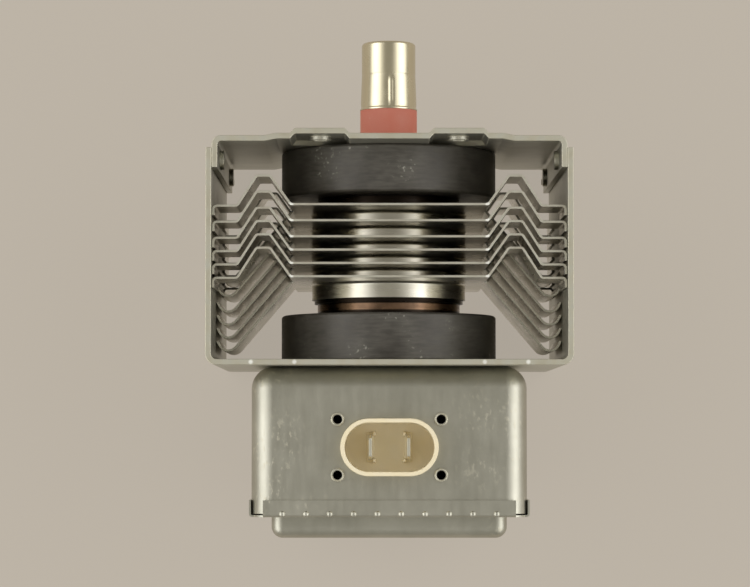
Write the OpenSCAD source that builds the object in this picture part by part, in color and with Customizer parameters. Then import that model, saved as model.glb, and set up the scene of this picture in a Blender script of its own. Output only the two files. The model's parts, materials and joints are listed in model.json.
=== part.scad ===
// Oven magnetron, lying on its back.
// X runs across the yoke, Y along the tube towards the antenna, Z up out of the connector face.
// The origin is where the tube axis meets the mounting plane, the top of the four raised pads.

/* [Yoke] */
// Outer width of the U bracket
yoke_w = 95; // [90:0.5:104]
// Depth of the yoke, front edge to rear edge
yoke_d = 80; // [76:0.5:90]
// Height from the mounting plane to the underside of the bracket
yoke_h = 61.2; // [58:0.2:70]
// Thickness of the yoke steel
yoke_sheet = 1.5; // [1.2:0.1:2]
// Bend radius of the bracket, at mid thickness
yoke_bend_r = 2.2; // [1.5:0.1:4]
// How far the bracket's walls stop short of the mounting plane
wall_drop = 5; // [4.2:0.1:5.6]

/* [Top plate] */
// Height of the mounting pads above the plate
pad_rise = 1.3; // [0.6:0.1:1.4]
// Width of a pad at its foot
pad_w = 15.4; // [12:0.2:17]
// Length of a pad back from the plate's edge
pad_l = 18; // [14:0.5:20]
// Run of the pad's sloped sides
pad_slope = 1.2; // [1:0.1:2.4]
// How far the plate's ends lie below its middle
end_drop = 0.6; // [0.2:0.1:1]
// Distance from the magnet's edge to where the ends start to drop
end_margin = 0.3; // [0.2:0.1:1.5]
// Run of that drop
end_ramp = 3; // [2:0.5:5]
// Distance from the mounting plane to the lower edge of the side flanges
flange_reach = 10.2; // [9.8:0.1:11]
// Bend radius of the flanges, at mid thickness
plate_bend_r = 1.6; // [1.2:0.1:3]
// Spacing of the mounting holes across the plate
hole_spacing_x = 36; // [33:0.5:38]
// Spacing of the mounting holes from front to rear
hole_spacing_z = 64; // [60:0.5:66]
// Diameter of a mounting hole
hole_d = 4.2; // [3:0.1:5]
// Wall of the burr drawn down around a mounting hole
burr_wall = 0.7; // [0.4:0.1:1]
// Length of that burr below the pad
burr_h = 1; // [0.5:0.1:2]

/* [Clinches] */
// Outside diameter of a clinch button
clinch_d = 5; // [4:0.1:6]
// How far a button stands out of the second sheet
clinch_out = 1.1; // [0.6:0.1:1.6]
// Wall and floor of a button
clinch_wall = 0.8; // [0.5:0.1:1]
// Distance of the side clinches from the mounting plane
clinch_y = 7; // [6.8:0.1:7.2]
// Distance of the side clinches from the middle of the wall
clinch_z = 25; // [18:0.5:28]
// Distance of the base clinches from the axis, across
base_clinch_x = 25; // [24:0.5:26]
// Distance of the base clinches from the axis, front to rear
base_clinch_z = 20; // [19:0.5:20.5]
// Width of the locating tab at the rear of each flange
tab_w = 1.75; // [1.2:0.05:2.2]
// Depth of that tab
tab_d = 1.5; // [1:0.1:2]
// How far the tab stands in from the flange
tab_in = 0.6; // [0.3:0.1:1]

/* [Magnets] */
// Outside diameter of a ring magnet
magnet_od = 58; // [54:0.5:59]
// Hole in a ring magnet
magnet_id = 21.4; // [20:0.2:24]
// Thickness of a ring magnet
magnet_h = 12.6; // [11:0.2:13]
// Chamfer on the magnet's edges
magnet_chamfer = 0.5; // [0.2:0.1:1]

/* [Cooling fins] */
// Thickness of the fin sheet
fin_t = 0.6; // [0.4:0.05:0.8]
// Depth of a fin, front to rear
fin_d = 75; // [66:0.5:76]
// Distance from the upper magnet to the first fin
fin_drop = 4.15; // [3.6:0.05:5]
// Pitch of the first two fin spaces
fin_pitch_upper = 4.17; // [3.8:0.01:4.6]
// Pitch of the other fin spaces
fin_pitch_lower = 3.457; // [3.3:0.001:4]
// Half width of the flat middle of a fin
fin_flat = 25.6; // [24.8:0.1:27]
// Height of the collar between two fins
collar_h = 3.2; // [2:0.05:3.2]
// Height of the last fin's collar
last_collar_h = 4.6; // [3:0.1:4.8]
// Radius at the root of a collar, at mid thickness
collar_root_r = 1.2; // [0.6:0.1:1.6]
// Half depth of the strip that is bent down
hook_half = 16; // [12:0.5:20]
// Width of the slits between the strips
slit = 0.8; // [0.4:0.1:1.6]
// Height of the strips that are bent up
hat_rise = 7.4; // [5:0.1:8]
// Run of the inner slope of a raised strip
hat_in = 5.3; // [4.6:0.1:6]
// Width of the crest of a raised strip
hat_crest = 3.5; // [2.8:0.1:4]
// Run of the outer slope of a raised strip
hat_out = 5; // [4.4:0.1:5.6]
// How far the foot of a raised strip lies below the fin
foot_drop = 0.4; // [0.2:0.1:0.6]
// Length of the lip that is pressed down the wall
lip_h = 2.5; // [1:0.1:2.6]
// Room left below the lowest hook's corner point
hook_clear = 1.4; // [0.7:0.1:3]
// Run of the hook's rising end
hook_back = 2.3; // [1.6:0.1:3]
// Height of the hook's rising end
hook_rise = 4.6; // [3:0.1:5]
// Radius of the hook, at mid thickness
hook_r = 2.6; // [1.5:0.1:3]
// Radius of the fin's other bends, at mid thickness
fin_bend_r = 0.9; // [0.5:0.1:1.1]

/* [Tube] */
// Outside diameter of the anode under the collars
anode_od = 40.2; // [38.8:0.2:42]
// Outside diameter of the turned rings at the anode's ends
end_ring_od = 38.5; // [37.6:0.1:38.6]
// Height of those rings
end_ring_h = 2.75; // [1:0.05:3]
// Wall of the anode at its narrowest
anode_wall = 1.75; // [1.2:0.05:2.4]
// Number of anode vanes
vane_count = 10; // [8:2:14]
// Thickness of a vane
vane_t = 1.8; // [1.2:0.1:2]
// Height of a vane
vane_h = 9.5; // [8:0.1:11]
// Radius of the space that the vane tips leave open
tip_r = 4.5; // [4.2:0.1:5]
// Mean radius of the inner strap
strap_r = 7; // [6.6:0.1:7.4]
// Radial pitch of the two straps
strap_pitch = 1.7; // [1.6:0.1:2.2]
// Section of a strap
strap_s = 0.9; // [0.6:0.05:1]
// Thickness of a pole piece
pole_t = 1.5; // [1.2:0.1:1.8]
// Radius of the flat middle of a pole piece
pole_flat_r = 8; // [7:0.1:9]
// Radius where the pole piece's rim starts
pole_rim_r = 13.5; // [12.5:0.1:14.4]
// Space between a pole piece and the vanes
pole_gap = 0.8; // [0.6:0.1:0.9]
// Thickness of the seal cups
seal_t = 0.5; // [0.4:0.05:0.7]
// Outside diameter of the seal cups' sleeves
sleeve_od = 18; // [17:0.1:18.6]
// How far the upper sleeve stands above the mounting plane
sleeve_top = 1; // [0.6:0.1:2]
// How far the lower sleeve reaches below the bracket
sleeve_reach = 2.8; // [2.4:0.1:5]

/* [Antenna] */
// Outside diameter of the antenna's ceramic
ceramic_od = 15.4; // [15:0.1:16.4]
// Bore of the antenna's ceramic
ceramic_id = 10.4; // [9:0.1:11.4]
// Height of the ceramic above the mounting plane
ceramic_top = 8.9; // [7:0.1:11]
// Diameter of the antenna cap
cap_d = 14.6; // [14:0.1:15.2]
// Diameter of the cap's flared rim
cap_rim_d = 15.5; // [15.3:0.1:16.4]
// Height of the cap
cap_h = 18.4; // [16:0.1:22]
// Height of the cap's flare
cap_flare_h = 9.5; // [4:0.1:12]
// Height of the straight edge below the flare
cap_edge_h = 0.4; // [0.2:0.1:0.8]
// Wall of the cap
cap_t = 0.4; // [0.3:0.05:0.6]
// Outside diameter of the exhaust tube
exhaust_od = 6.4; // [5.6:0.1:7]
// Wall of the exhaust tube
exhaust_wall = 0.8; // [0.5:0.1:1]
// Thickness of the pinched end
pinch_t = 1.2; // [0.8:0.1:2]
// Width of the pinched end
pinch_w = 8; // [7:0.1:9]
// Height of the pinched end
pinch_h = 6.8; // [4:0.1:7]
// Space between the pinched end and the cap
pinch_gap = 2.3; // [1:0.1:3]
// Radius of the cap's top edge, at mid thickness
cap_top_r = 1; // [0.6:0.1:2]
// Thickness of the exhaust tube's foot
exhaust_foot_t = 0.6; // [0.4:0.1:1]
// Space between that foot and the cap's rim
exhaust_foot_gap = 0.4; // [0.2:0.1:0.8]
// Width of the antenna lead
lead_w = 1.6; // [1.2:0.1:2]
// Thickness of the antenna lead
lead_t = 0.8; // [0.5:0.1:1]
// Height of the lead's upright foot above the vane
lead_foot_h = 6.4; // [5:0.1:7]
// Height over which the lead slopes in to the axis
lead_slope_h = 12.7; // [11:0.1:14]
// Radius of the lead's hole in the pole piece
lead_hole_r = 2.4; // [1.8:0.1:2.6]

/* [Cathode and stem] */
// Mean radius of the filament's turns
filament_r = 1.95; // [1.7:0.05:2.3]
// Diameter of the filament wire
filament_wire = 0.5; // [0.4:0.05:0.6]
// Number of filament turns
filament_turns = 8; // [6:1:10]
// Radius of an end shield
shield_r = 3.4; // [3:0.1:3.8]
// Thickness of an end shield
shield_t = 1; // [0.6:0.1:1.2]
// Diameter of the support rods
rod_d = 1.5; // [1.2:0.1:1.8]
// Distance of the rods from the axis where they leave the stem
rod_x = 3.5; // [3.2:0.1:4]
// How far the rods run straight down into the lower magnet
rod_straight = 5; // [3:0.1:6]
// Height over which the rods spread to the stem's holes
rod_crank_h = 7; // [5:0.1:8]
// Height of the stem's ceramic
stem_h = 12; // [10:0.2:13]
// Wall of the stem's ceramic
stem_wall = 2.2; // [1.5:0.1:2.6]
// Floor of the stem's ceramic
stem_floor = 4; // [3:0.1:5]
// Thickness of the stem terminals
terminal_t = 0.8; // [0.5:0.1:1]
// Length of a stem terminal's tag
tag_h = 6.2; // [5:0.1:7]
// Width of a stem terminal
tag_w = 4.6; // [4:0.1:5]

/* [Filter box] */
// Width of the filter box
box_w = 72.2; // [70:0.2:76]
// Depth of the filter box
box_d = 60; // [58:0.2:66]
// Height of the filter box
box_h = 38.55; // [38:0.05:44]
// Thickness of the box sheet
box_sheet = 0.7; // [0.5:0.05:1]
// Radius of the box's edges
box_r = 6; // [5:0.1:7]
// Thickness of the lid sheet
lid_sheet = 0.5; // [0.4:0.05:0.8]
// Height of the lid's rim
rim_h = 4.4; // [3.6:0.1:6]
// Bend radius of the rim, at mid thickness
rim_bend_r = 0.6; // [0.5:0.1:0.8]
// Length of rim left out at each corner
rim_notch = 3.2; // [2:0.1:6]
// Depth of the pressed bulge in the lid
bulge_h = 5.6; // [4:0.1:8]
// Margin of the lid round the bulge
bulge_margin = 5.2; // [4:0.1:8]
// Radius of the bulge's edges
bulge_r = 3; // [2:0.1:3.4]
// Number of contact dimples along one long rim
dimple_count = 10; // [6:1:11]
// Pitch of the contact dimples
dimple_pitch = 6.2; // [5:0.1:6.3]
// Diameter of a contact dimple at its foot
dimple_d = 1.6; // [1.6:0.1:2.6]
// Height of a contact dimple
dimple_h = 0.45; // [0.2:0.05:0.8]

/* [Connector] */
// Width of the connector's oval shroud
shroud_w = 25.4; // [24:0.1:28]
// Height of the shroud
shroud_h = 14.9; // [13:0.1:15.4]
// Wall of the shroud
shroud_wall = 1.1; // [0.8:0.1:1.6]
// How far the shroud stands out of the box
shroud_out = 7.5; // [4:0.1:9]
// Depth of the recess in the shroud
recess_depth = 10; // [6:0.1:10.4]
// Distance of the connector below the bracket
connector_y = 21.2; // [20:0.1:23]
// Width of a terminal blade
blade_w = 6.35; // [4.8:0.05:6.4]
// Thickness of a terminal blade
blade_t = 0.8; // [0.5:0.05:1]
// Spacing of the terminal blades
blade_spacing = 9.9; // [9:0.1:11]
// Chamfer at the blade's tip
blade_chamfer = 0.9; // [0.4:0.1:1.2]
// How far the blade's tip lies inside the shroud's rim
blade_inset = 1; // [0.2:0.1:3]
// Spacing of the eyelets across
eyelet_spacing_x = 27; // [26.4:0.1:29]
// Spacing of the eyelets along the box
eyelet_spacing_y = 14.5; // [14:0.1:17]
// Hole in an eyelet
eyelet_d = 2.4; // [1.6:0.1:2.6]
// Wall of an eyelet
eyelet_wall = 0.35; // [0.3:0.05:0.6]
// How far the turned rim of an eyelet spreads
eyelet_flare = 0.25; // [0.2:0.05:0.6]
// Thickness of the capacitor's earth plate
earth_t = 1; // [0.6:0.1:1.5]
// Margin of the capacitor's flange round the shroud
case_margin = 1.6; // [1:0.1:2.4]
// Thickness of the capacitor's flange
case_flange = 2; // [1.2:0.1:3]
// Thickness of the ceramic capacitor block
block_t = 6; // [4:0.1:8]
// Depth of the capacitor's inner case
inner_depth = 12; // [9:0.1:13]
// Wall of the inner case
inner_wall = 1.5; // [1:0.1:2]
// Length of a blade's inner tag
inner_tag = 5; // [4:0.1:5.4]
// Width of a blade's inner tag
inner_tag_w = 3; // [2:0.1:4]

/* [Chokes] */
// Distance of a choke's axis from the middle
choke_x = 17; // [16:0.1:20]
// Distance of a choke's axis below the bracket
choke_y = 24.8; // [24:0.1:26]
// Mean radius of a choke's turns
choke_r = 4; // [3.7:0.1:4.4]
// Diameter of the choke wire
choke_wire = 1.4; // [1:0.1:1.6]
// Number of turns
choke_turns = 8; // [6:1:9]
// Pitch of the turns
choke_pitch = 2; // [1.8:0.05:2.2]
// How far the ferrite core stands out of the turns
core_out = 1; // [0.5:0.1:2]
// Gap between the core and the turns
core_gap = 0.4; // [0.3:0.05:0.8]

/* [Fits] */
// Gap at press fits, brazed joints and plain seats
fit_gap = 0.05; // [0.02:0.01:0.1]
// Gap between the fins and the bracket's walls
wall_gap = 0.1; // [0.05:0.01:0.3]
// Clearance round the sleeves in the plates
sleeve_gap = 0.6; // [0.4:0.1:0.9]
// Clearance of the end shields in the pole pieces
shield_clear = 1.35; // [1:0.05:1.6]
// Clearance of the centre rod in the lower end shield
rod_clear = 0.4; // [0.2:0.05:0.6]
// Clearance of the straps over the vanes that they skip
strap_gap = 0.4; // [0.2:0.05:0.6]

/* [Hidden] */
$fn = 72;
eps = 0.01;
FIN_COUNT = 6;

// Levels along the tube
y_plate = -pad_rise;
y_plate_in = y_plate - yoke_sheet;
y_base = -yoke_h;
y_base_in = y_base + yoke_sheet;
y_upper = y_plate_in - magnet_h;
y_lower = y_base_in + magnet_h;
y_mid = (y_upper + y_lower) / 2;
y_anode_top = y_upper - seal_t;
y_anode_bottom = y_lower + seal_t;
y_stem_top = y_base - sleeve_reach;
y_stem = y_stem_top - stem_h;
y_box_bottom = y_base - box_h;
lid_seat = rim_bend_r - lid_sheet / 2;
y_lid = y_box_bottom - lid_seat - lid_sheet;
y_connector = y_base - connector_y;
y_choke = y_base - choke_y;

// Half widths inside the yoke
wall_in = yoke_w / 2 - yoke_sheet;
wall_mid = yoke_w / 2 - yoke_sheet / 2;
flange_out = wall_in - fit_gap;
flange_in = flange_out - yoke_sheet;
flange_mid = flange_out - yoke_sheet / 2;
rear = -yoke_d / 2;
end_start = magnet_od / 2 + end_margin;

// Tube radii
anode_r = anode_od / 2;
bore_r = min(anode_od, end_ring_od) / 2 - anode_wall;
sleeve_r = sleeve_od / 2;
sleeve_in = sleeve_r - seal_t;
plate_hole_r = sleeve_r + sleeve_gap;
vane_r = bore_r - fit_gap;
collar_r = anode_r + fit_gap + fin_t / 2;
pole_hole_r = shield_r + shield_clear;

// Fin planes, and the wing's turning points measured from the fin plane
function fin_y(i) = y_upper - fin_drop
    - (i < 2 ? i * fin_pitch_upper : 2 * fin_pitch_upper + (i - 2) * fin_pitch_lower);
wing_end = wall_in - wall_gap - fin_t / 2;
crest_in = fin_flat + hat_in;
crest_out = crest_in + hat_crest;
foot_x = crest_out + hat_out;
hook_drop = fin_y(FIN_COUNT - 1) - y_base_in - hook_clear + fin_t;
hook_x = wing_end - hook_back;
wing_root = fin_flat - 1;

// Filter box faces and pieces on the connector wall
box_front = box_d / 2;
box_in = box_front - box_sheet;
earth_back = box_in - earth_t;
flange_back = earth_back - case_flange;
block_back = flange_back - block_t;
inner_back = flange_back - inner_depth;
rim_front = box_front + shroud_out;
recess_floor = rim_front - recess_depth;
blade_tip = rim_front - blade_inset;
blade_end = inner_back - inner_tag;
blade_x = blade_spacing / 2;
case_w = shroud_w + 2 * case_margin;
case_h = shroud_h + 2 * case_margin;
block_w = case_w - 2 * inner_wall - 2 * fit_gap;
block_h = case_h - 2 * inner_wall - 2 * fit_gap;
rim_in_x = box_w / 2 + fit_gap;
rim_in_z = box_front + fit_gap;
bulge_x = box_w / 2 - bulge_margin;
bulge_z = box_front - bulge_margin;

// Choke ends
choke_rear = -choke_pitch * choke_turns;
tag_face = rod_x + rod_d / 2 + 2 * fit_gap + terminal_t;
wire_r = choke_wire / 2;

// Colours
zinc = "#a9aaa0";
aluminium = "#c9c7bf";
ferrite = "#3b3b39";
copper = "#b87950";
iron = "#8c8a86";
ceramic_pink = "#b5705f";
ceramic_white = "#e6e0d4";
cream = "#e4d9b8";
nickel = "#c4b79c";
tungsten = "#77777c";

// Geometry of bent sheet, worked out on its centre line
function unit(v) = v / norm(v);
function flip(list) = [for (i = [len(list) - 1 : -1 : 0]) list[i]];
function corner(a, b, c, r, steps) =
    let (
        u = unit(a - b),
        v = unit(c - b),
        open_angle = acos(u * v),
        centre = b + unit(u + v) * r / sin(open_angle / 2),
        first = b + u * r / tan(open_angle / 2) - centre,
        turn = (u.x * v.y - u.y * v.x > 0 ? -1 : 1) * (180 - open_angle),
        start = atan2(first.y, first.x)
    )
    [for (i = [0 : steps]) centre + r * [cos(start + turn * i / steps), sin(start + turn * i / steps)]];
function bent(path, r, steps = 5) = [
    path[0],
    for (i = [1 : len(path) - 2]) each corner(path[i - 1], path[i], path[i + 1], r, steps),
    path[len(path) - 1]
];
function left_of(a, b) = let (u = unit(b - a)) [-u.y, u.x];
function offset_at(path, i) =
    let (
        before = i > 0 ? left_of(path[i - 1], path[i]) : left_of(path[i], path[i + 1]),
        after = i < len(path) - 1 ? left_of(path[i], path[i + 1]) : before,
        both = unit(before + after)
    )
    both / (both * before);
function strip(path, t) = concat(
    [for (i = [0 : len(path) - 1]) path[i] + offset_at(path, i) * t / 2],
    flip([for (i = [0 : len(path) - 1]) path[i] - offset_at(path, i) * t / 2])
);

// A round wire along a path, its sides carried along without twist
function tangent(path, i) = unit(path[min(i + 1, len(path) - 1)] - path[max(i - 1, 0)]);
function carried(side, along) = unit(side - (side * along) * along);
function wire_sides(path, start) = [
    for (i = 0, s = carried(start, tangent(path, 0));
         i < len(path);
         i = i + 1, s = i < len(path) ? carried(s, tangent(path, i)) : s) s
];
function helix(r, pitch, turns, per_turn, start) = [
    for (i = [0 : turns * per_turn])
        [r * cos(start + 360 * i / per_turn), r * sin(start + 360 * i / per_turn), pitch * i / per_turn]
];

module wire(path, r, sides, start) {
    side_dirs = wire_sides(path, start);
    count = len(path);
    points = [
        for (i = [0 : count - 1])
            for (k = [0 : sides - 1])
                let (along = tangent(path, i), a = 360 * k / sides)
                path[i] + r * (cos(a) * side_dirs[i] + sin(a) * cross(along, side_dirs[i]))
    ];
    walls = [
        for (i = [0 : count - 2])
            for (k = [0 : sides - 1])
                let (n = (k + 1) % sides)
                [i * sides + k, (i + 1) * sides + k, (i + 1) * sides + n, i * sides + n]
    ];
    ends = [
        [for (k = [0 : sides - 1]) k],
        [for (k = [sides - 1 : -1 : 0]) (count - 1) * sides + k]
    ];
    polyhedron(points, concat(walls, ends), convexity = 8);
}

// Shapes about the tube axis and along the yoke
module spun(points) {
    rotate([-90, 0, 0]) rotate_extrude() polygon(points);
}

module round_y(r, y0, y1) {
    translate([0, y0, 0]) rotate([-90, 0, 0]) cylinder(r = r, h = y1 - y0);
}

module ring_y(r_out, r_in, y0, y1) {
    difference() {
        round_y(r_out, y0, y1);
        round_y(r_in, y0 - 1, y1 + 1);
    }
}

module sheet_z(path, r, t, z0, z1) {
    translate([0, 0, z0]) linear_extrude(z1 - z0) polygon(strip(bent(path, r), t));
}

module both_sides() {
    children();
    mirror([1, 0, 0]) children();
}

module four_places(x, z) {
    for (sx = [-1, 1])
        for (sz = [-1, 1])
            translate([sx * x, 0, sz * z]) children();
}

// Outline of a rounded rectangle and of an oval
module rounded_outline(w, h, r) {
    square([w - 2 * r, h], center = true);
    square([w, h - 2 * r], center = true);
    for (sx = [-1, 1])
        for (sy = [-1, 1])
            translate([sx * (w / 2 - r), sy * (h / 2 - r)]) circle(r);
}

module oval(w, h) {
    square([w - h, h], center = true);
    for (sx = [-1, 1]) translate([sx * (w - h) / 2, 0]) circle(d = h);
}

module connector_oval(w, h, z0, z1) {
    translate([0, y_connector, z0]) linear_extrude(z1 - z0) oval(w, h);
}

// A block whose upright edges and top edge are rounded, standing on y0
module drawn_block(w, d, r, y0, y1) {
    x = w / 2 - r;
    z = d / 2 - r;
    translate([0, y0, 0]) rotate([-90, 0, 0]) linear_extrude(y1 - r - y0) rounded_outline(w, d, r);
    translate([-x, y1 - r - eps, -z]) cube([2 * x, r + eps, 2 * z]);
    for (s = [-1, 1]) {
        translate([-x, y1 - r, s * z]) rotate([0, 90, 0]) cylinder(r = r, h = 2 * x);
        translate([s * x, y1 - r, -z]) cylinder(r = r, h = 2 * z);
    }
    four_places(x, z) translate([0, y1 - r, 0]) sphere(r);
}

// Yoke
module clinch_cup(depth) {
    cylinder(d = clinch_d, h = depth);
}

module clinch_dimple(depth) {
    translate([0, 0, -yoke_sheet - 1])
        cylinder(d = clinch_d - 2 * clinch_wall, h = depth + yoke_sheet + 1 - clinch_wall);
}

module side_clinch_places() {
    both_sides()
        for (s = [-1, 1])
            translate([wall_in, -clinch_y, s * clinch_z]) rotate([0, -90, 0]) children();
}

module base_clinch_places() {
    four_places(base_clinch_x, base_clinch_z) translate([0, y_base, 0]) rotate([90, 0, 0]) children();
}

side_clinch_depth = wall_in - flange_in + clinch_out;
base_clinch_depth = box_sheet + clinch_out;

module tab_block(x0, x1, gap) {
    both_sides()
        translate([x0, -clinch_y - tab_w / 2 - gap, rear - gap])
            cube([x1 - x0, tab_w + 2 * gap, tab_d + 2 * gap]);
}

module yoke_bracket() {
    y_floor = y_base + yoke_sheet / 2;
    path = [[-wall_mid, -wall_drop], [-wall_mid, y_floor], [wall_mid, y_floor], [wall_mid, -wall_drop]];
    color(zinc)
    difference() {
        union() {
            sheet_z(path, yoke_bend_r, yoke_sheet, rear, yoke_d / 2);
            side_clinch_places() clinch_cup(side_clinch_depth);
            base_clinch_places() clinch_cup(base_clinch_depth);
        }
        side_clinch_places() clinch_dimple(side_clinch_depth);
        base_clinch_places() clinch_dimple(base_clinch_depth);
        round_y(plate_hole_r, y_base - 1, y_base_in + 1);
        tab_block(wall_in - 1, yoke_w / 2 + 1, wall_gap);
    }
}

// A pad's raised form: a bar with sloped sides, cut by a slope at its inner end
module pad_form(over) {
    x0 = hole_spacing_x / 2 - pad_w / 2;
    x1 = hole_spacing_x / 2 + pad_w / 2;
    z_in = yoke_d / 2 - pad_l;
    z_out = yoke_d / 2 + over;
    foot = y_plate - eps;
    intersection() {
        translate([0, 0, z_in])
            linear_extrude(z_out - z_in)
                polygon([[x0, foot], [x1, foot], [x1 - pad_slope, 0], [x0 + pad_slope, 0]]);
        translate([x1, 0, 0])
            rotate([0, -90, 0])
                linear_extrude(pad_w)
                    polygon([[z_in, foot], [z_out, foot], [z_out, 0], [z_in + pad_slope, 0]]);
    }
}

module four_pads(over) {
    both_sides() {
        pad_form(over);
        mirror([0, 0, 1]) pad_form(over);
    }
}

module yoke_top_plate() {
    y_middle = y_plate - yoke_sheet / 2;
    y_end = y_middle - end_drop;
    end_x = end_start + end_ramp;
    half = [[end_start, y_middle], [end_x, y_end], [flange_mid, y_end], [flange_mid, -flange_reach]];
    path = concat(flip([for (p = half) [-p.x, p.y]]), half);
    color(zinc)
    difference() {
        union() {
            difference() {
                union() {
                    sheet_z(path, plate_bend_r, yoke_sheet, rear, yoke_d / 2);
                    four_pads(0);
                }
                translate([0, -yoke_sheet, 0]) four_pads(1);
            }
            four_places(hole_spacing_x / 2, hole_spacing_z / 2)
                round_y(hole_d / 2 + burr_wall, -yoke_sheet - burr_h, -yoke_sheet / 2);
            tab_block(flange_in - tab_in, yoke_w / 2 - wall_gap, 0);
        }
        four_places(hole_spacing_x / 2, hole_spacing_z / 2) round_y(hole_d / 2, -flange_reach, 1);
        side_clinch_places() cylinder(d = clinch_d + 2 * fit_gap, h = side_clinch_depth + 1);
        round_y(plate_hole_r, -flange_reach, 1);
    }
}

// Magnets
module ring_magnet(y0) {
    r_out = magnet_od / 2;
    r_in = magnet_id / 2;
    c = magnet_chamfer;
    y1 = y0 + magnet_h;
    color(ferrite)
    spun([[r_in, y0], [r_out - c, y0], [r_out, y0 + c], [r_out, y1 - c], [r_out - c, y1], [r_in, y1]]);
}

module upper_magnet() {
    ring_magnet(y_upper);
}

module lower_magnet() {
    ring_magnet(y_base_in);
}

// Cooling fins: a collared flat middle, raised strips front and rear, a hooked strip between
module wing() {
    hat = [
        [wing_root, 0], [fin_flat, 0], [crest_in, hat_rise], [crest_out, hat_rise],
        [foot_x, -foot_drop], [wing_end, -foot_drop], [wing_end, -foot_drop - lip_h]
    ];
    hook = [[wing_root, 0], [fin_flat, 0], [hook_x, -hook_drop], [wing_end, -hook_drop + hook_rise]];
    hat_from = hook_half + slit;
    sheet_z(hat, fin_bend_r, fin_t, hat_from, fin_d / 2);
    sheet_z(hat, fin_bend_r, fin_t, -fin_d / 2, -hat_from);
    translate([0, 0, -hook_half])
        linear_extrude(2 * hook_half)
            polygon(strip(concat(
                [hook[0]],
                corner(hook[0], hook[1], hook[2], fin_bend_r, 3),
                corner(hook[1], hook[2], hook[3], hook_r, 8),
                [hook[3]]
            ), fin_t));
}

module collar(h) {
    reach = collar_r + collar_root_r + fin_t;
    spun(strip(bent([[reach, 0], [collar_r, 0], [collar_r, -h]], collar_root_r), fin_t));
}

module cooling_fin(i) {
    color(aluminium)
    translate([0, fin_y(i), 0]) {
        difference() {
            translate([-fin_flat, -fin_t / 2, -fin_d / 2]) cube([2 * fin_flat, fin_t, fin_d]);
            round_y(collar_r + collar_root_r + fin_t / 2, -1, 1);
        }
        collar(i == FIN_COUNT - 1 ? last_collar_h : collar_h);
        both_sides() wing();
    }
}

module cooling_fin_1() cooling_fin(0);
module cooling_fin_2() cooling_fin(1);
module cooling_fin_3() cooling_fin(2);
module cooling_fin_4() cooling_fin(3);
module cooling_fin_5() cooling_fin(4);
module cooling_fin_6() cooling_fin(5);

// Anode block
module anode_cylinder() {
    ring_r = end_ring_od / 2;
    lower_step = y_anode_bottom + end_ring_h;
    upper_step = y_anode_top - end_ring_h;
    color(copper)
    spun([
        [bore_r, y_anode_bottom], [ring_r, y_anode_bottom], [ring_r, lower_step], [anode_r, lower_step],
        [anode_r, upper_step], [ring_r, upper_step], [ring_r, y_anode_top], [bore_r, y_anode_top]
    ]);
}

// The level of a strap's seat on the vanes that carry it, and of the slots that clear it elsewhere
strap_sink = strap_s + strap_gap;

module strap_slot(r, deep) {
    depth = strap_sink + (deep ? strap_gap : 0);
    half = strap_s / 2 + strap_gap / 2;
    for (s = [0, 1])
        mirror([0, s, 0]) ring_y(r + half, r - half, vane_h / 2 - depth, vane_h / 2 + 1);
}

module anode_vanes() {
    color(copper)
    translate([0, y_mid, 0])
        for (i = [0 : vane_count - 1])
            difference() {
                intersection() {
                    rotate([0, 360 * i / vane_count, 0])
                        translate([0, -vane_h / 2, -vane_t / 2])
                            cube([vane_r + 1, vane_h, vane_t]);
                    ring_y(vane_r, tip_r, -vane_h / 2, vane_h / 2);
                }
                strap_slot(strap_r, i % 2 == 0);
                strap_slot(strap_r + strap_pitch, i % 2 == 1);
            }
}

module strap(r, top) {
    seat = vane_h / 2 - strap_sink;
    color(copper)
    translate([0, y_mid, 0])
        mirror([0, top ? 0 : 1, 0])
            ring_y(r + strap_s / 2, r - strap_s / 2, seat, seat + strap_s);
}

module upper_inner_strap() strap(strap_r, true);
module upper_outer_strap() strap(strap_r + strap_pitch, true);
module lower_inner_strap() strap(strap_r, false);
module lower_outer_strap() strap(strap_r + strap_pitch, false);

// Pole pieces, dished towards the vanes
lead_x = (pole_flat_r + pole_rim_r) / 2;

module pole_piece() {
    y_rim = y_anode_top - y_mid - pole_t / 2;
    y_flat = vane_h / 2 + pole_gap + pole_t / 2;
    path = [[vane_r, y_rim], [pole_rim_r, y_rim], [pole_flat_r, y_flat], [pole_hole_r, y_flat]];
    spun(strip(bent(path, pole_t), pole_t));
}

module upper_pole_piece() {
    color(iron)
    translate([0, y_mid, 0])
        difference() {
            pole_piece();
            translate([lead_x, 0, 0]) round_y(lead_hole_r, 0, yoke_h);
        }
}

module lower_pole_piece() {
    color(iron)
    translate([0, y_mid, 0]) mirror([0, 1, 0]) pole_piece();
}

// Seal cups: a flange across the anode's end and a sleeve through the magnet
seal_r = end_ring_od / 2 - fit_gap;
lip_r = ceramic_id / 2 + fit_gap;

module upper_seal_cup() {
    y_lip = sleeve_top - seal_t;
    color(nickel)
    spun([
        [sleeve_in, y_anode_top], [seal_r, y_anode_top], [seal_r, y_upper], [sleeve_r, y_upper],
        [sleeve_r, sleeve_top], [lip_r, sleeve_top], [lip_r, y_lip], [sleeve_in, y_lip]
    ]);
}

module lower_seal_cup() {
    color(nickel)
    spun([
        [sleeve_in, y_anode_bottom], [seal_r, y_anode_bottom], [seal_r, y_lower], [sleeve_r, y_lower],
        [sleeve_r, y_stem_top], [sleeve_in, y_stem_top]
    ]);
}

// Antenna
module antenna_ceramic() {
    color(ceramic_pink)
    ring_y(ceramic_od / 2, ceramic_id / 2, sleeve_top, ceramic_top);
}

exhaust_r = exhaust_od / 2;
exhaust_foot_r = cap_rim_d / 2 - cap_t - exhaust_foot_gap;
pinch_top = ceramic_top + cap_h - cap_t - pinch_gap;
pinch_foot = pinch_top - pinch_h;

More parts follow.
